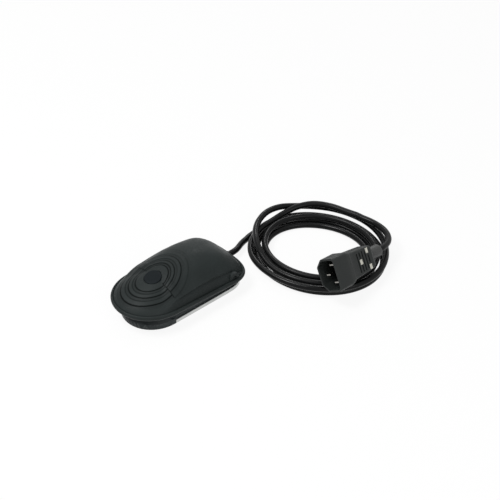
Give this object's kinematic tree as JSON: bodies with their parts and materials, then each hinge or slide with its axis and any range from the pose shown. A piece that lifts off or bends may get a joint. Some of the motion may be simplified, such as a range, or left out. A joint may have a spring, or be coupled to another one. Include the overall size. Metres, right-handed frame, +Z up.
{
  "type": "sewing machine foot pedal",
  "caption": "Low rounded foot pedal with a sprung tilting tread over a flat base, a coiled round cord from its heel and a three-pin connector plug.",
  "frame": {"origin": "on the floor plane, under the middle of the pedal's outline, the cord and plug left out", "axes": "+X across the pedal, +Y from the nose to the heel where the cord leaves, +Z up"},
  "size_m": [0.1263, 0.2264, 0.0411],
  "materials": {
    "cover_plastic": "fine-grained satin black moulding",
    "insert_rubber": "soft matte rubber-like insert",
    "base_plastic": "satin black moulding",
    "plate_steel": "pale zinc-grey sheet",
    "foot_rubber": "matte black rubber",
    "screw_steel": "zinc plated",
    "shaft_steel": "ground steel",
    "clip_steel": "black oxide spring steel",
    "spring_steel": "drawn spring wire",
    "acetal": "natural acetal",
    "bracket_plastic": "glass-filled nylon",
    "pot_metal": "plated can",
    "nut_steel": "nickel plated",
    "board_green": "coated laminate",
    "block_plastic": "moulded terminal block",
    "component_case": "dipped components",
    "wire_insulation": "coloured insulation",
    "clamp_plastic": "moulded clamp",
    "cord_rubber": "glossy black cord jacket",
    "plug_plastic": "matte black moulding",
    "plug_core_plastic": "ivory moulding",
    "pin_metal": "nickel plated brass"
  },
  "bodies": {
    "base": {"base_tray": "base_plastic", "bottom_plate": "plate_steel", "rubber_feet": "foot_rubber", "plate_screws": "screw_steel", "return_springs": "spring_steel", "stop_pads": "foot_rubber", "plunger_spring": "spring_steel", "sensor_bracket": "bracket_plastic", "bracket_screws": "screw_steel", "potentiometer": "pot_metal", "potentiometer_nut": "nut_steel", "circuit_board": "board_green", "board_screws": "screw_steel", "terminal_block": "block_plastic", "board_parts": "component_case", "conductors": "wire_insulation", "cord_clamp": "clamp_plastic", "clamp_screws": "screw_steel", "cord_grommet": "cord_rubber", "cord_inlet": "cord_rubber", "cord_lead": "cord_rubber", "cord_coil": "cord_rubber", "cord_tail": "cord_rubber", "plug_shell": "plug_plastic", "plug_core": "plug_core_plastic", "plug_pins": "pin_metal", "plug_sleeve": "plug_plastic"},
    "treadle": {"treadle_cover": "cover_plastic", "tread_insert": "insert_rubber", "pivot_shaft": "shaft_steel", "shaft_clips": "clip_steel"},
    "plunger": {"rack_plunger": "acetal"},
    "rotor": {"drive_pinion": "acetal", "potentiometer_shaft": "shaft_steel"}
  },
  "joints": [
    {"name": "treadle_pivot", "type": "hinge", "parent": "base", "child": "treadle", "pos_m": [0, 0.0356, 0.016], "axis": [1, 0, 0], "range_deg": [0, 4.5], "stiffness_Nm_per_rad": 3, "springref_deg": -5.73, "deforming": ["return_springs"]},
    {"name": "plunger_slide", "type": "slide", "parent": "base", "child": "plunger", "axis": [0, 0, -1], "range_m": [0, 0.00313], "deforming": ["plunger_spring"]},
    {"name": "pinion_spin", "type": "hinge", "parent": "base", "child": "rotor", "pos_m": [0, 0.0045, 0.0165], "axis": [1, 0, 0], "range_deg": [0, 39.8]}
  ],
  "couplings": [
    {"joint": "plunger_slide", "follows": "treadle_pivot", "m_per_rad": 0.039738},
    {"joint": "pinion_spin", "follows": "treadle_pivot", "ratio": 8.8306}
  ]
}
